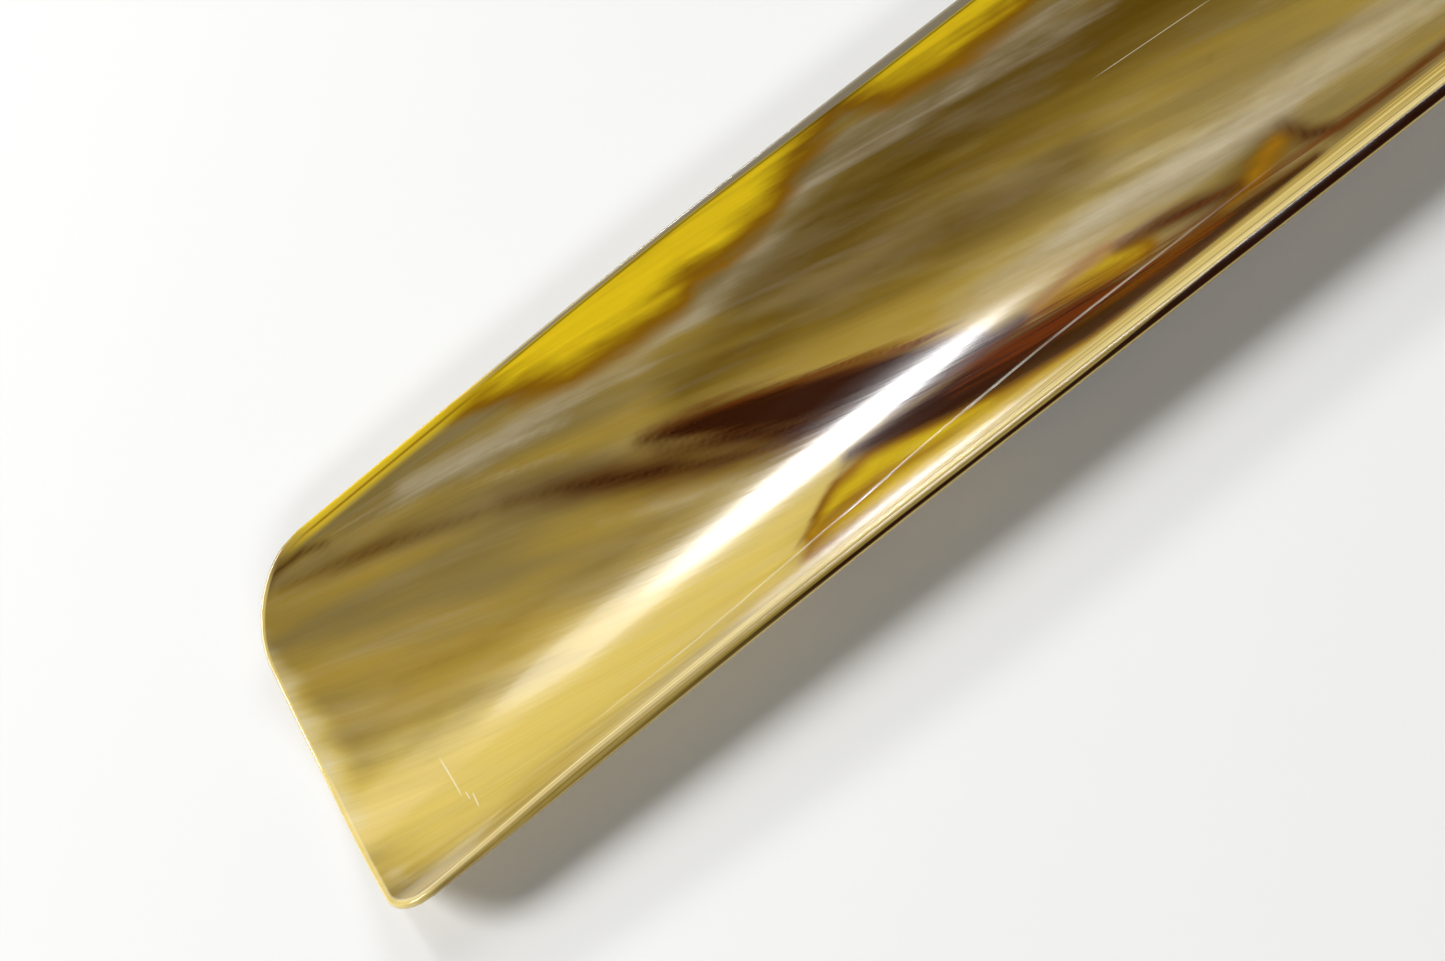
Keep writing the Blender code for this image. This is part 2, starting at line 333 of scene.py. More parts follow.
CLEAR_STROKES = [
    (2.6, 1.20, [(33, 23.4, 0.0), (40, 22.6, 2.0), (46, 21.9, 3.1), (53, 21.0, 3.2),
        (58, 20.9, 3.0), (61, 21.4, 2.5), (65, 21.2, 2.9), (71, 21.6, 2.7), (76, 22.3, 1.5),
        (83, 23.0, 0.5), (89, 22.2, 2.0), (96, 21.9, 2.6), (103, 22.0, 2.4), (111, 22.4, 1.2),
        (120, 23.2, 0.0)]),
    (1.6, 1.10, [(57.2, -16.4, 0.3), (61.6, -14.4, 1.6), (65.6, -14.2, 2.2), (71, -15.8, 1.9),
        (78, -17.6, 1.2)]),
    (2.4, 1.15, [(57, -18.8, 0.5), (66, -19.0, 2.2), (78, -19.3, 2.2), (92, -20.6, 0.7)]),
    (2.0, 1.00, [(87, -9.9, 0.3), (91, -10.6, 1.4), (95, -11.4, 1.9), (98, -12.8, 1.2)]),
    (2.6, 0.72, [(107, -16.2, 0.8), (110.5, -14.8, 2.2), (114, -12.8, 1.8)]),
    (2.6, 1.00, [(146, 20.4, 0.2), (160, 19.9, 1.4), (176, 19.0, 1.9), (194, 18.0, 1.3),
        (210, 17.2, 0.2)]),
    (2.6, 1.00, [(140, -18.6, 0.2), (154, -17.9, 1.5), (170, -17.2, 1.6), (188, -16.9, 1.0),
        (205, -16.6, 0.2)]),
    (2.6, 1.00, [(232, 14.2, 0.2), (246, 13.2, 1.3), (262, 12.5, 1.6), (276, 11.6, 1.0),
        (288, 8.6, 0.2)]),
    (2.6, 0.90, [(236, -14.2, 0.2), (252, -13.4, 1.2), (268, -12.6, 1.3), (282, -10.8, 0.4)]),
]
MILKY_STROKES = [
    (2.0, 1.00, [(24, 19.8, 0.3), (31, 18.2, 0.8), (40, 17.0, 0.8), (50, 15.6, 0.5),
        (60, 15.2, 0.5), (68, 16.4, 0.6), (76, 18.2, 0.8), (84, 18.8, 0.8), (92, 17.2, 0.6),
        (101, 16.2, 0.7), (112, 15.2, 0.3)]),
    (1.2, 0.70, [(12, 22.0, 0.1), (17, 20.6, 0.4), (25, 18.0, 0.4), (33, 14.9, 0.5),
        (40, 11.8, 0.1)]),
    (1.0, 0.95, [(33, 17.6, 0.1), (37, 16.2, 0.8), (42, 14.8, 0.3)]),
    (1.4, 0.45, [(9, 15.4, 0.0), (20, 10.6, 0.3), (31, 5.8, 0.3), (39, 2.0, 0.0)]),
    (1.6, 0.90, [(39, 3.4, 0.0), (46, 0.0, 0.7), (52, -2.8, 0.7), (60, -6.4, 0.2)]),
    (1.4, 0.40, [(44, 14.2, 0.0), (54, 11.6, 0.3), (66, 9.6, 0.0)]),
    (4.0, 1.00, [(80, -3.0, 0.6), (92, -4.4, 1.8), (106, -6.2, 2.0), (121, -8.0, 2.0),
        (136, -11.4, 1.2)]),
    (1.6, 0.60, [(116, -8.6, 0.1), (124, -9.8, 0.4), (133, -12.4, 0.1)]),
    (3.0, 0.55, [(98, 13.6, 0.3), (108, 10.2, 0.7), (119, 6.2, 0.7), (131, 1.4, 0.3)]),
    (3.0, 0.60, [(132, 8.0, 0.2), (150, 2.4, 0.9), (172, -4.4, 0.9), (190, -9.0, 0.3)]),
    (3.0, 0.60, [(176, 13.0, 0.2), (196, 9.6, 0.9), (222, -0.8, 1.0), (250, -5.0, 0.5),
        (276, -5.6, 0.2)]),
    (2.6, 0.60, [(214, 13.4, 0.2), (236, 9.2, 0.8), (262, 6.4, 0.6), (286, 4.6, 0.2)]),
]
HAZE_STROKES = [
    (2.4, 0.85, [(1.6, 16.5, 0.3), (1.0, 9.0, 0.8), (1.0, 2.0, 0.8), (0.6, -6.0, 0.6)]),
    (2.6, 0.50, [(2.0, -12.0, 0.3), (2.8, -15.6, 0.8), (4.6, -18.6, 0.8), (7.0, -20.8, 0.4)]),
]
STRAW_STROKES = [
    (6.0, 1.15, [(0, -6, 3.0), (12, -12, 6.0), (30, -14, 6.4), (50, -14, 5.4), (60, -12, 1.6)]),
    (2.5, 1.10, [(0.5, 15, 0.2), (0.8, 7, 1.4), (0.8, 0, 2.0), (0.8, -6, 2.0)]),
    (5.0, 0.60, [(2, 1, 1.0), (16, -4, 2.0), (34, -5.5, 1.6), (52, -4.5, 0.8)]),
    (4.0, 0.60, [(60, 6.8, 0.6), (72, 2.2, 1.0), (82, -1.8, 1.2)]),
    (6.0, 0.70, [(84, -1, 1.2), (100, -3, 2.0), (116, -6, 2.0), (132, -10, 1.6)]),
    (3.0, 0.50, [(40, 13.2, 0.4), (52, 13.0, 0.7), (62, 12.2, 0.3)]),
    (6.0, 0.50, [(140, -4, 1.2), (160, -8, 2.0), (186, -7, 1.2)]),
    (6.0, 0.50, [(200, 3, 0.8), (224, -3, 1.6), (254, -2, 1.2), (284, -2, 0.8)]),
]
BROWN_STROKES = [
    (6.0, 1.25, [(64, 13.0, 1.0), (78, 13.5, 2.6), (94, 13.4, 3.6), (112, 11.5, 3.2),
        (132, 8.0, 2.0)]),
    (5.0, 1.20, [(54, 9.8, 0.8), (68, 9.0, 2.2), (80, 6.4, 2.8), (90, 4.2, 2.0), (98, 3.0, 0.8)]),
    (5.0, 0.70, [(104, 8.0, 1.0), (118, 4.0, 1.6), (132, -0.6, 1.0)]),
    (5.0, 0.60, [(4, 17, 1.0), (14, 12.6, 2.0), (27, 9.6, 2.0), (34, 8.0, 0.8)]),
    (3.6, 0.70, [(12, 4.0, 0.8), (22, 1.2, 1.6), (34, -0.6, 1.2), (46, -1.6, 0.4)]),
    (2.4, 1.05, [(105, -16.6, 0.8), (110, -14.8, 2.6), (114, -12.6, 2.4), (115.5, -11.2, 1.0)]),
    # Painted reflection: darkens the strip of the right-hand wall below the painted glint line, where it
    # reflects the darker left-hand wall
    (2.2, 0.50, [(49, -20.6, 0.2), (58, -19.4, 1.2), (74, -18.9, 1.6), (92, -19.8, 1.0)]),
    (1.0, 0.80, [(22.0, 12.2, 0.1), (24.0, 12.6, 0.2)]),
    (1.0, 0.70, [(113.6, 2.6, 0.1), (115.0, 2.0, 0.2)]),
    (1.0, 0.60, [(59.4, 18.4, 0.6), (61.0, 20.6, 0.3)]),
    (2.0, 0.50, [(104, 3.4, 0.1), (114, 0.8, 0.4), (126, -2.2, 0.1)]),
    (6.0, 0.80, [(130, 14.5, 1.0), (150, 13.6, 2.0), (176, 10.6, 2.0), (200, 4.6, 1.0)]),
    (6.0, 0.70, [(226, -6.6, 0.8), (252, -7.4, 1.6), (280, -6.8, 1.0)]),
    (5.0, 0.70, [(214, 10.5, 0.8), (240, 7.4, 1.2), (270, 4.4, 0.8)]),
]

# Straight scratches: (along, across) of both ends, and half width
SCRATCHES = [
    ((12.4, -7.8), (13.1, -13.6), 0.07),
    ((13.7, -13.9), (13.9, -15.2), 0.06),
    ((14.4, -14.8), (14.6, -17.0), 0.07),
    ((106.0, 8.6), (118.0, 7.6), 0.035),
]


def strip_places(mesh):
    """Each vertex's place along and across the strip, and its depth into the wall."""
    place = np.zeros(len(mesh.vertices) * 3, np.float32)
    mesh.vertices.foreach_get("co", place)
    place = place.reshape(-1, 3).astype(float) / MM
    along = place[:, 0] - TIP_X / MM
    radius = section_radius(along)
    centre = np.sqrt(radius ** 2 - (REST_FLAT_WIDTH / 2) ** 2) + back_lift(along)
    reach = np.hypot(place[:, 1], centre - place[:, 2])
    return along, place[:, 1] * radius / reach, radius - reach


def store(mesh, name, values):
    kind, field = ("FLOAT", "value") if values.ndim == 1 else ("FLOAT_VECTOR", "vector")
    attribute = mesh.attributes.new(name, kind, "POINT")
    attribute.data.foreach_set(field, values.astype(np.float32).ravel())


def paint(mesh, name, strokes):
    """Stores brush strokes on a mesh: 1 well inside a stroke, 0.5 at its edge, 0 outside."""
    along, across = strip_places(mesh)[:2]
    place = np.stack([along, across], axis=-1)
    painted = np.full(len(along), -0.5)
    for softness, strength, line in strokes:
        stroke = np.full(len(along), -0.5)
        for start, end in zip(line, line[1:]):
            run = np.array(end[:2]) - np.array(start[:2])
            offset = place - np.array(start[:2])
            share = np.clip(offset @ run / (run @ run), 0.0, 1.0)
            distance = np.linalg.norm(offset - share[:, None] * run, axis=1)
            distance -= start[2] + (end[2] - start[2]) * share
            cover = np.clip(0.5 - distance / (2 * softness), -0.5, 1.2)
            stroke = np.maximum(stroke, cover - (1.0 - strength) * np.clip(cover + 0.5, 0, 1))
        merge = np.clip(STROKE_MERGE - np.abs(painted - stroke), 0.0, None) ** 2 / (4 * STROKE_MERGE)
        painted = np.maximum(painted, stroke) + merge
    store(mesh, name, painted)


def paint_grain(mesh):
    """Stores the direction of growth: x runs with the fibres, and y counts across them.

    The fibres cross the strip at a slant in its middle and bend to run along it near the rims.
    """
    along, across, depth = strip_places(mesh)
    half = half_width(along) + EDGE_ROUNDING
    side = np.clip(across / (half * 1.04), -0.97, 0.97)
    slant = GRAIN_SLANT * GRAIN_SLANT_LENGTH * (1.0 - np.exp(-along / GRAIN_SLANT_LENGTH))
    across_fibres = half * np.arctanh(side) + slant
    store(mesh, "grain", np.stack([along, across_fibres, depth], axis=-1))


def paint_strip(mesh):
    """Stores the place along and across the strip, and the distance in from the inner rim.

    The distance goes on below zero down the rim's face.
    """
    points = horn_surface()[0]
    loop = outline_loop(*points.shape[:2])
    outline = points[loop[:, 0], loop[:, 1], :2]
    corners = np.concatenate([outline, outline[:1]])
    steps = np.arange(0, len(outline), 0.1)
    places = np.arange(len(corners))
    finer = np.stack([np.interp(steps, places, corners[:, axis]) for axis in (0, 1)], -1)
    tree = KDTree(len(finer))
    for index, (x, y) in enumerate(finer):
        tree.insert((x, y, 0.0), index)
    tree.balance()
    along, across, depth = strip_places(mesh)
    inward = np.array([tree.find((x, y, 0.0))[2] for x, y in zip(along, across)])
    share = np.clip(across / half_width(along), -1.0, 1.0)
    below = wall_thickness(along, share) - depth
    store(mesh, "strip", np.stack([along, across, inward - below], axis=-1))


# ---------------------------------------------------------------- materials

class Shader:
    """Short calls for building a material's nodes."""

    def __init__(self, name):
        self.material = bpy.data.materials.new(name)
        self.material.use_nodes = True
        self.tree = self.material.node_tree
        self.surface = self.tree.nodes["Principled BSDF"]

    def node(self, kind, **settings):
        made = self.tree.nodes.new(kind)
        for key, value in settings.items():
            setattr(made, key, value)
        return made

    def put(self, socket, value):
        if isinstance(value, bpy.types.NodeSocket):
            self.tree.links.new(value, socket)
        elif isinstance(value, tuple) and len(value) == 3 and socket.type == "RGBA":
            socket.default_value = (*value, 1.0)
        else:
            socket.default_value = value

    def math(self, operation, first, second=0.0):
        made = self.node("ShaderNodeMath", operation=operation)
        self.put(made.inputs[0], first)
        self.put(made.inputs[1], second)
        return made.outputs[0]

    def product(self, *factors):
        result = factors[0]
        for factor in factors[1:]:
            result = self.math("MULTIPLY", result, factor)
        return result

    def split(self, vector):
        made = self.node("ShaderNodeSeparateXYZ")
        self.put(made.inputs[0], vector)
        return made.outputs

    def join(self, x, y, z):
        made = self.node("ShaderNodeCombineXYZ")
        for socket, value in zip(made.inputs, (x, y, z)):
            self.put(socket, value)
        return made.outputs[0]

    def attribute(self, name, output="Fac"):
        return self.node("ShaderNodeAttribute", attribute_name=name).outputs[output]

    def stretch(self, vector, scale, shift=(0.0, 0.0, 0.0)):
        made = self.node("ShaderNodeMapping")
        self.put(made.inputs["Vector"], vector)
        self.put(made.inputs["Scale"], scale)
        self.put(made.inputs["Location"], shift)
        return made.outputs["Vector"]

    def noise(self, vector, detail=3.0, roughness=0.5):
        made = self.node("ShaderNodeTexNoise")
        self.put(made.inputs["Vector"], vector)
        self.put(made.inputs["Scale"], 1.0)
        self.put(made.inputs["Detail"], detail)
        self.put(made.inputs["Roughness"], roughness)
        return made.outputs["Fac"]

    def ramp(self, value, low, high, to_low=0.0, to_high=1.0):
        made = self.node("ShaderNodeMapRange", interpolation_type="SMOOTHSTEP")
        for socket, number in zip(made.inputs, (value, low, high, to_low, to_high)):
            self.put(socket, number)
        return made.outputs["Result"]

    def mix(self, share, first, second, blend_type="MIX"):
        made = self.node("ShaderNodeMix", data_type="RGBA", blend_type=blend_type)
        self.put(made.inputs["Factor"], share)
        self.put(made.inputs["A"], first)
        self.put(made.inputs["B"], second)
        return made.outputs["Result"]

    def bump(self, height, strength, distance, normal=None):
        made = self.node("ShaderNodeBump")
        self.put(made.inputs["Height"], height)
        self.put(made.inputs["Strength"], strength)
        self.put(made.inputs["Distance"], distance)
        if normal is not None:
            self.put(made.inputs["Normal"], normal)
        return made.outputs["Normal"]

    def set(self, **values):
        for name, value in values.items():
            self.put(self.surface.inputs[name.replace("_", " ")], value)


OLIVE = (0.235, 0.168, 0.050)
TAN = (0.360, 0.242, 0.038)
STRAW = (0.640, 0.480, 0.110)
MILK = (0.470, 0.400, 0.260)
HAZE = (0.640, 0.620, 0.540)
UMBER = (0.112, 0.060, 0.002)
AMBER = (0.270, 0.122, 0.002)
# YELLOW is painted brighter than the clear horn itself, with the glow of light let through from behind
YELLOW = (0.930, 0.670, 0.012)
DEEP_YELLOW = (0.560, 0.385, 0.010)
RUST = (0.122, 0.022, 0.000)
OXBLOOD = (0.080, 0.025, 0.003)
BLACK_BROWN = (0.030, 0.006, 0.000)
CREAM = (0.740, 0.580, 0.190)
HIGHLIGHT_CREAM = (0.860, 0.740, 0.400)
GREY_BROWN = (0.300, 0.260, 0.180)
# Pale colour of the real scratches, also used for the painted glint along the ridge
SCRATCH_AND_GLINT = (0.850, 0.800, 0.620)


def pigment_colour(horn, grain, across, streaks, fibres):
    """The colours inside the horn: milky and clear zones, the clear ones painted brighter where light shines
    through them, and dark pigment drawn out in streaks.
    """
    broad = horn.noise(horn.stretch(grain, (0.022, 0.11, 0.1)), detail=2.0)
    blots = horn.noise(horn.stretch(grain, (0.14, 0.28, 0.2), (1.0, 5.0, 0.0)), detail=3.0)
    clouds = horn.noise(horn.stretch(grain, (0.055, 0.26, 0.2), (6.0, 1.0, 0.0)), detail=4.0)

    def spread(name, streak_share, blot_share):
        """A painted zone whose edge is frayed along the fibres and wanders a little."""
        frayed = horn.math("MULTIPLY", horn.math("SUBTRACT", streaks, 0.5), streak_share)
        wander = horn.math("MULTIPLY", horn.math("SUBTRACT", blots, 0.5), blot_share)
        zone = horn.math("ADD", horn.attribute(name), frayed)
        return horn.math("ADD", zone, wander)

    colour = horn.mix(horn.ramp(broad, 0.35, 0.65), OLIVE, TAN)
    colour = horn.mix(horn.ramp(spread("straw", 0.4, 0.4), 0.0, 1.0), colour, STRAW)
    colour = horn.mix(horn.ramp(spread("brown", 0.8, 0.2), 0.0, 1.1), colour, UMBER)
    colour = horn.mix(horn.ramp(streaks, 0.54, 0.78, 0.0, 0.16), colour, MILK)
    colour = horn.mix(horn.ramp(clouds, 0.42, 0.74, 0.0, 0.16), colour, MILK)
    colour = horn.mix(horn.ramp(spread("milky", 1.1, 0.9), 0.10, 1.3), colour, MILK)
    colour = horn.mix(horn.ramp(spread("haze", 0.4, 0.9), 0.0, 1.4), colour, HAZE)
    clear = spread("clear", 0.3, 0.5)
    # Painted light: the clear zones are painted brighter yellow towards the left-hand wall, as they glow
    # with light let through from behind, and deeper yellow towards the right-hand wall
    window = horn.mix(horn.ramp(across, -10.0, 10.0), DEEP_YELLOW, YELLOW)
    window = horn.mix(horn.ramp(clear, 0.48, 1.18), AMBER, window)
    colour = horn.mix(horn.ramp(clear, 0.10, 0.55), colour, window)
    dark = spread("dark", 0.35, 0.2)
    density = horn.math("ADD", dark, horn.math("MULTIPLY", horn.math("SUBTRACT", fibres, 0.5), 0.9))
    pigment = horn.mix(horn.ramp(density, 0.45, 1.05), OXBLOOD, BLACK_BROWN)
    colour = horn.mix(horn.ramp(dark, 0.0, 0.85), colour, pigment)
    veins = horn.noise(horn.stretch(grain, (0.05, 0.95, 0.5), (2.0, 4.0, 0.0)), detail=2.0)
    rust = horn.ramp(spread("rust", 0.9, 0.4), -0.05, 0.85)
    rust = horn.product(rust, horn.ramp(veins, 0.40, 0.58))
    return horn.mix(rust, colour, RUST)


def band(horn, value, low, high, softness):
    """1 where the value lies between low and high."""
    above = horn.ramp(horn.math("SUBTRACT", value, low), -softness, softness)
    under = horn.ramp(horn.math("SUBTRACT", value, high), softness, -softness)
    return horn.product(above, under)


def right_rim_colour(horn, colour, strip):
    """Painted light on the right-hand rim: cream lines inside it where it catches the light, a painted
    highlight along its rounded edge, and a black-brown band down the rim's own face that is partly painted
    shade and partly the horn's dark pigment.
    """
    along, across, rim = horn.split(strip)
    right = horn.ramp(across, 2.0, -2.0)
    lines = horn.noise(horn.stretch(strip, (0.012, 0.0, 3.4)), detail=2.5)
    lit_rim_lines = horn.mix(horn.ramp(lines, 0.38, 0.62), TAN, CREAM)
    width = horn.ramp(along, 10.0, 130.0, 0.6, 3.0)
    # Painted light: a cream band inside the rim, where it catches the light
    catches_light = horn.product(horn.ramp(horn.math("DIVIDE", rim, width), 1.08, 0.86), right)
    colour = horn.mix(horn.product(catches_light, horn.ramp(along, 2.0, 30.0, 0.0, 0.9)), colour, lit_rim_lines)
    # Painted highlight along the rim's rounded inner edge
    painted_rim_highlight = horn.product(band(horn, rim, 0.05, 0.40, 0.10), right)
    colour = horn.mix(horn.math("MULTIPLY", painted_rim_highlight, 0.5), colour, HIGHLIGHT_CREAM)
    top = horn.ramp(along, 84.0, 112.0, -0.62, -0.02)
    dark_part = horn.product(horn.ramp(along, 20.0, 60.0), horn.ramp(along, 190.0, 140.0))
    # Painted shade down the rim's face, partly the horn's own dark pigment
    rim_face_shade = horn.product(band(horn, rim, -1.0, top, 0.10), right, dark_part)
    return horn.mix(rim_face_shade, colour, BLACK_BROWN)


def left_rim_colour(horn, colour, strip):
    """A grey-brown edge with a darker line, and a clear yellow edge with an amber line near the tip."""
    along, across, rim = horn.split(strip)
    left = horn.ramp(across, -2.0, 2.0)
    middle = horn.ramp(along, 30.0, 42.0)
    strip_top = horn.ramp(along, 60.0, 92.0, 0.12, 0.50)
    below_top = horn.math("SUBTRACT", rim, strip_top)
    grey = horn.product(horn.ramp(below_top, 0.08, -0.08), left, middle)
    colour = horn.mix(grey, colour, GREY_BROWN)
    darker_line = horn.product(band(horn, below_top, 0.04, 0.20, 0.08), left, middle)
    colour = horn.mix(horn.math("MULTIPLY", darker_line, 0.7), colour, UMBER)
    corner = horn.product(left, horn.ramp(along, 42.0, 30.0), horn.ramp(along, 8.0, 15.0))
    colour = horn.mix(horn.product(band(horn, rim, -2.0, 0.9, 0.40), corner, 0.7), colour, YELLOW)
    return horn.mix(horn.product(band(horn, rim, 0.32, 0.52, 0.10), corner, 0.8), colour, AMBER)


def tip_rim_colour(horn, colour, strip):
    """The thin tip's edge, painted paler at the very end."""
    along, _, rim = horn.split(strip)
    tip = horn.product(horn.ramp(along, 9.0, 5.0), horn.ramp(rim, 0.34, 0.14))
    return horn.mix(horn.math("MULTIPLY", tip, 0.8), colour, CREAM)


def scratch_mask(horn, along, across):
    """1 on the scratches."""
    total = 0.0
    for (start_x, start_y), (end_x, end_y), half in SCRATCHES:
        length = math.hypot(end_x - start_x, end_y - start_y)
        turn = math.atan2(end_y - start_y, end_x - start_x)
        right_x = horn.math("MULTIPLY", horn.math("SUBTRACT", along, start_x), math.cos(turn))
        right_y = horn.math("MULTIPLY", horn.math("SUBTRACT", across, start_y), math.sin(turn))
        down_x = horn.math("MULTIPLY", horn.math("SUBTRACT", along, start_x), -math.sin(turn))
        down_y = horn.math("MULTIPLY", horn.math("SUBTRACT", across, start_y), math.cos(turn))
        run = horn.math("ADD", right_x, right_y)
        off = horn.math("ABSOLUTE", horn.math("ADD", down_x, down_y))
        run = band(horn, run, 0.0, length, 0.15 * length)
        line = horn.product(horn.ramp(off, 1.6 * half, 0.4 * half), run)
        total = horn.math("MAXIMUM", total, line)
    return total


def glint_ridge_mask(horn, along, across):
    """A fine ridge along the inside towards the right-hand rim, with a pale glint painted along it."""
    line = horn.ramp(along, 36.0, 92.0, -18.8, -15.4)
    off = horn.math("ABSOLUTE", horn.math("SUBTRACT", across, line))
    fades = band(horn, along, 34.0, 104.0, 16.0)
    # How strongly the painted glint shows, varying along its length
    catches_light = horn.noise(horn.join(horn.math("MULTIPLY", along, 0.09), 0.0, 0.0), detail=3.0)
    return horn.product(horn.ramp(off, 0.26, 0.04), fades, horn.ramp(catches_light, 0.30, 0.65, 0.25, 1.0))


def horn_material():
    """Polished ox horn."""
    horn = Shader("ox_horn")
    grain = horn.attribute("grain", "Vector")
    strip = horn.attribute("strip", "Vector")
    along, across, _ = horn.split(strip)
    streaks = horn.noise(horn.stretch(grain, (0.030, 0.42, 0.3), (3.0, 7.0, 0.0)), detail=3.0)
    fibres = horn.noise(horn.stretch(grain, (0.09, 2.4, 1.0), (9.0, 2.0, 0.0)), detail=3.0, roughness=0.6)
    colour = pigment_colour(horn, grain, across, streaks, fibres)
    for rim_colour in (right_rim_colour, left_rim_colour, tip_rim_colour):
        colour = rim_colour(horn, colour, strip)
    shade = horn.product(
        horn.ramp(fibres, 0.30, 0.70, 0.97, 1.03), horn.ramp(streaks, 0.32, 0.68, 0.97, 1.03),
    )
    colour = horn.mix(1.0, colour, horn.join(shade, shade, shade), "MULTIPLY")
    scratches = scratch_mask(horn, along, across)
    glint_ridge = glint_ridge_mask(horn, along, across)
    colour = horn.mix(horn.math("MULTIPLY", scratches, 0.6), colour, SCRATCH_AND_GLINT)
    # Painted highlight: a pale glint line along the ridge
    colour = horn.mix(horn.math("MULTIPLY", glint_ridge, 0.40), colour, SCRATCH_AND_GLINT)

    polish = horn.noise(horn.stretch(grain, (0.05, 1.4, 0.6), (4.0, 4.0, 0.0)), detail=2.0, roughness=0.6)
    relief = horn.bump(polish, 0.022, 0.0004)
    relief = horn.bump(glint_ridge, 0.5, 0.0001, relief)
    horn.set(Base_Color=colour, Roughness=horn.ramp(polish, 0.3, 0.7, 0.12, 0.16), Normal=relief)
    horn.set(IOR=1.50, Coat_Weight=0.35, Coat_Roughness=0.06)
    horn.set(Subsurface_Weight=0.15, Subsurface_Radius=(1.0, 0.55, 0.12), Subsurface_Scale=0.0015)
    return horn.material


def brass_material():
    """Polished brass with faint handling marks."""
    brass = Shader("polished_brass")
    place = brass.node("ShaderNodeTexCoord").outputs["Object"]
    cloud = brass.noise(brass.stretch(place, (600.0, 600.0, 600.0)), detail=3.0)
    scuffs = brass.noise(brass.stretch(place, (900.0, 4000.0, 900.0)), detail=4.0, roughness=0.7)
    colour = brass.mix(brass.ramp(cloud, 0.35, 0.7), (0.80, 0.58, 0.24), (0.62, 0.41, 0.15))
    relief = brass.bump(scuffs, 0.15, 0.0001)
    brass.set(Base_Color=colour, Roughness=brass.ramp(cloud, 0.3, 0.7, 0.16, 0.34), Normal=relief)
    brass.set(Metallic=1.0)
    return brass.material


# ---------------------------------------------------------------- pieces

def make_horn():
    blade = make_fine_blade()
    cut_hanging_hole(blade)
    mesh = blade.data
    paint(mesh, "dark", DARK_STROKES)
    paint(mesh, "rust", RUST_STROKES)
    paint(mesh, "clear", CLEAR_STROKES)
    paint(mesh, "milky", MILKY_STROKES)
    paint(mesh, "haze", HAZE_STROKES)
    paint(mesh, "straw", STRAW_STROKES)
    paint(mesh, "brown", BROWN_STROKES)
    paint_grain(mesh)
    paint_strip(mesh)
    mesh.materials.clear()
    mesh.materials.append(horn_material())
    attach(blade, "shoehorn")
    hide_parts("horn_blade")


def rounded_outline(corners):
    """Replaces each (radius, height, rounding) corner of a closed outline by an arc."""
    outline = []
    for index, (x, y, rounding) in enumerate(corners):
        corner = Vector((x, y))
        before = (Vector(corners[index - 1][:2]) - corner).normalized()
        after = (Vector(corners[(index + 1) % len(corners)][:2]) - corner).normalized()
        centre = corner + (before + after) * rounding
        for step in range(ARC_STEPS + 1):
            angle = math.pi / 2 * step / ARC_STEPS
            outline.append(centre - (after * math.cos(angle) + before * math.sin(angle)) * rounding)
    return outline


def add_brass_piece(name, vertices, faces, material, body):
    """Adds a piece given around the middle of the hanging hole, in millimetres."""
    mesh = bpy.data.meshes.new(name + "_fine")
    mesh.from_pydata([tuple(vertex * MM) for vertex in vertices], [], faces)
    shape = bmesh.new()
    shape.from_mesh(mesh)
    bmesh.ops.recalc_face_normals(shape, faces=shape.faces)
    shape.to_mesh(mesh)
    shape.free()
    mesh.shade_smooth()
    mesh.materials.append(material)
    piece = bpy.data.objects.new(name + "_fine", mesh)
    bpy.context.scene.collection.objects.link(piece)
    piece.location = HOLE
    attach(piece, body)
    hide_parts(name)


def loft(loops, closed):
    """Faces between neighbouring loops of equal length, with caps if the row of loops is open."""
    count, size = len(loops), len(loops[0])
    faces = []
    for first in range(count if closed else count - 1):
        second = (first + 1) % count
        for index in range(size):
            nearby = (index + 1) % size
            faces.append((
                first * size + index, second * size + index, second * size + nearby, first * size + nearby,
            ))
    if not closed:
        faces.append(tuple(range(size)))
        faces.append(tuple(range((count - 1) * size, count * size)))
    return [vertex for loop in loops for vertex in loop], faces


def make_turned_piece(name, corners, material):
    """A ring-shaped piece turned about the hole's axis; corner heights are above the ground."""
    outline = rounded_outline(corners)
    loops = []
    for segment in range(TURN_SEGMENTS):
        angle = 2 * math.pi * segment / TURN_SEGMENTS
        x, y = math.cos(angle), math.sin(angle)
        loops.append([Vector((radius * x, radius * y, height - HOLE.z / MM)) for radius, height in outline])
    add_brass_piece(name, *loft(loops, True), material, "shoehorn")


def make_eyelet(material):
    low, high = (corner.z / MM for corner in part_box("eyelet"))
    seat = high - EYELET_FLANGE_THICKNESS
    lip_top = low + EYELET_WALL
    make_turned_piece("eyelet", [
        (EYELET_BORE_RADIUS, high, 0.35),
        (EYELET_FLANGE_RADIUS, high, 0.28),
        (EYELET_FLANGE_RADIUS, seat, 0.08),
        (EYELET_BARREL_RADIUS, seat, 0.05),
        (EYELET_BARREL_RADIUS, lip_top, 0.05),
        (EYELET_LIP_RADIUS, lip_top, 0.08),
        (EYELET_LIP_RADIUS, low, 0.28),
        (EYELET_BORE_RADIUS, low, 0.28),
    ], material)


def make_eyelet_washer(material):
    low, high = (corner.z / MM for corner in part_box("eyelet_washer"))
    make_turned_piece("eyelet_washer", [
        (HOLE_RADIUS, high, 0.06),
        (EYELET_FLANGE_RADIUS, high, 0.10),
        (EYELET_FLANGE_RADIUS, low, 0.10),
        (HOLE_RADIUS, low, 0.06),
    ], material)


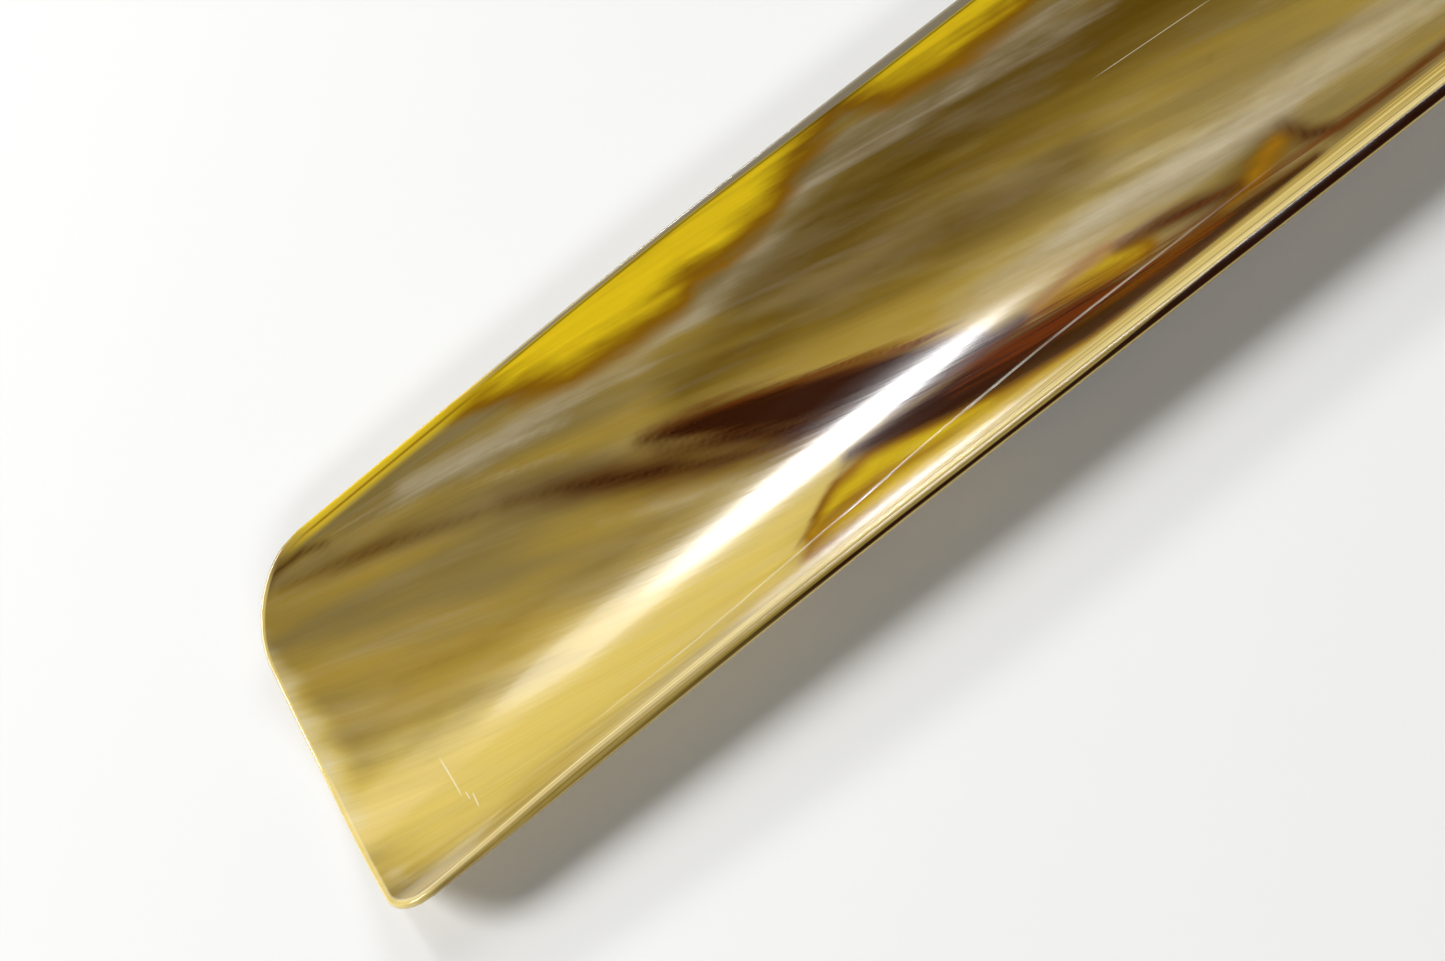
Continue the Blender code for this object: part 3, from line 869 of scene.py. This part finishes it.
def make_hanging_ring(material):
    """Bent wire ring, with slightly rounded wire ends meeting at its open joint."""
    darker_line = RING_SEAM / RING_RADIUS
    ends = [(0.0, 0.80), (0.006, 0.94), (0.014, 1.0)]
    turn = 2 * math.pi - darker_line
    places = [(darker_line / 2 + step, scale) for step, scale in ends]
    for index in range(1, RING_SEGMENTS):
        places.append((darker_line / 2 + turn * index / RING_SEGMENTS, 1.0))
    places += [(darker_line / 2 + turn - step, scale) for step, scale in reversed(ends)]
    loops = []
    for angle, scale in places:
        outward = Vector((math.cos(angle), 0.0, math.sin(angle)))
        middle = Vector((RING_RADIUS, 0.0, 0.0)) + outward * RING_RADIUS
        loop = []
        for index in range(WIRE_SEGMENTS):
            around = 2 * math.pi * index / WIRE_SEGMENTS
            offset = outward * math.cos(around) + Vector((0.0, math.sin(around), 0.0))
            loop.append(middle + offset * WIRE_RADIUS * scale)
        loops.append(loop)
    add_brass_piece("hanging_ring", *loft(loops, False), material, "ring")


def make_brass_fittings():
    brass = brass_material()
    make_eyelet(brass)
    make_eyelet_washer(brass)
    make_hanging_ring(brass)


# ---------------------------------------------------------------- floor, light and camera

def make_floor():
    """A wide sheet of paper, a hair below the shoehorn so that the two never share a plane."""
    bpy.ops.mesh.primitive_plane_add(size=8.0, location=(0.0, 0.0, -0.05 * MM))
    floor = bpy.context.object
    floor.name = "floor"
    paper = Shader("floor_paper")
    paper.set(Base_Color=(0.80, 0.80, 0.79), Roughness=0.9)
    floor.data.materials.append(paper.material)


def soft_light(name, azimuth, elevation, distance, size, power):
    """A softbox facing the visible half; azimuth 0 is behind it, at +Y, and 90 at +X."""
    target = Vector((TIP_X + 0.065, 0.0, 0.005))
    turn, rise = math.radians(azimuth), math.radians(elevation)
    direction = Vector((math.sin(turn) * math.cos(rise), math.cos(turn) * math.cos(rise), math.sin(rise)))
    lamp = bpy.data.lights.new(name, "AREA")
    lamp.shape = "ELLIPSE"
    lamp.size, lamp.size_y = size
    lamp.energy = power
    holder = bpy.data.objects.new(name, lamp)
    bpy.context.scene.collection.objects.link(holder)
    holder.location = target + direction * distance
    holder.rotation_euler = (-direction).to_track_quat("-Z", "Y").to_euler()


def make_lights():
    world = bpy.data.worlds.new("studio")
    world.use_nodes = True
    background = world.node_tree.nodes["Background"]
    background.inputs["Color"].default_value = (1.0, 1.0, 1.0, 1.0)
    background.inputs["Strength"].default_value = 0.03
    bpy.context.scene.world = world

    # The long highlight in the trough is this window's reflection, with a softer glow round it
    soft_light("window", -7.0, 32.9, 1.0, (0.11, 0.13), 1.3)
    soft_light("window_edge", -8.0, 32.9, 1.01, (0.19, 0.20), 0.8)
    soft_light("window_halo", -13.0, 32.9, 1.02, (0.36, 0.23), 0.8)
    soft_light("window_glow", -9.0, 33.2, 1.04, (0.90, 0.36), 0.7)

    soft_light("back_left_softbox", -64.0, 40.0, 1.3, (0.55, 0.60), 15.0)
    soft_light("back_right_softbox", 62.0, 42.0, 1.3, (0.7, 0.7), 4.5)
    soft_light("front_softbox", 180.0, 37.0, 1.3, (0.9, 0.25), 5.6)


def make_camera():
    """Looks down on the tip end from beyond its right-hand rim, turned so the strip runs up to the right."""
    elevation = math.radians(53.97)
    swing = math.radians(-13.94)
    roll = math.radians(38.04)
    distance = 0.3121
    target = Vector((TIP_X + 0.05286, -0.00592, 0.008))
    forward = Vector((
        math.sin(swing) * math.cos(elevation),
        math.cos(swing) * math.cos(elevation),
        -math.sin(elevation),
    ))
    level = (Vector((1.0, 0.0, 0.0)) - forward * forward.x).normalized()
    down = forward.cross(level)
    right = level * math.cos(roll) + down * math.sin(roll)
    up = level * math.sin(roll) - down * math.cos(roll)
    lens = bpy.data.cameras.new("camera")
    lens.lens = 80.0
    lens.sensor_width = 36.0
    lens.clip_start = 0.01
    camera = bpy.data.objects.new("camera", lens)
    bpy.context.scene.collection.objects.link(camera)
    turn = Matrix((right, up, -forward)).transposed()
    camera.matrix_world = Matrix.Translation(target - forward * distance) @ turn.to_4x4()
    bpy.context.scene.camera = camera


make_camera()
make_horn()
make_brass_fittings()
make_floor()
make_lights()
bpy.context.scene.view_settings.view_transform = "Standard"
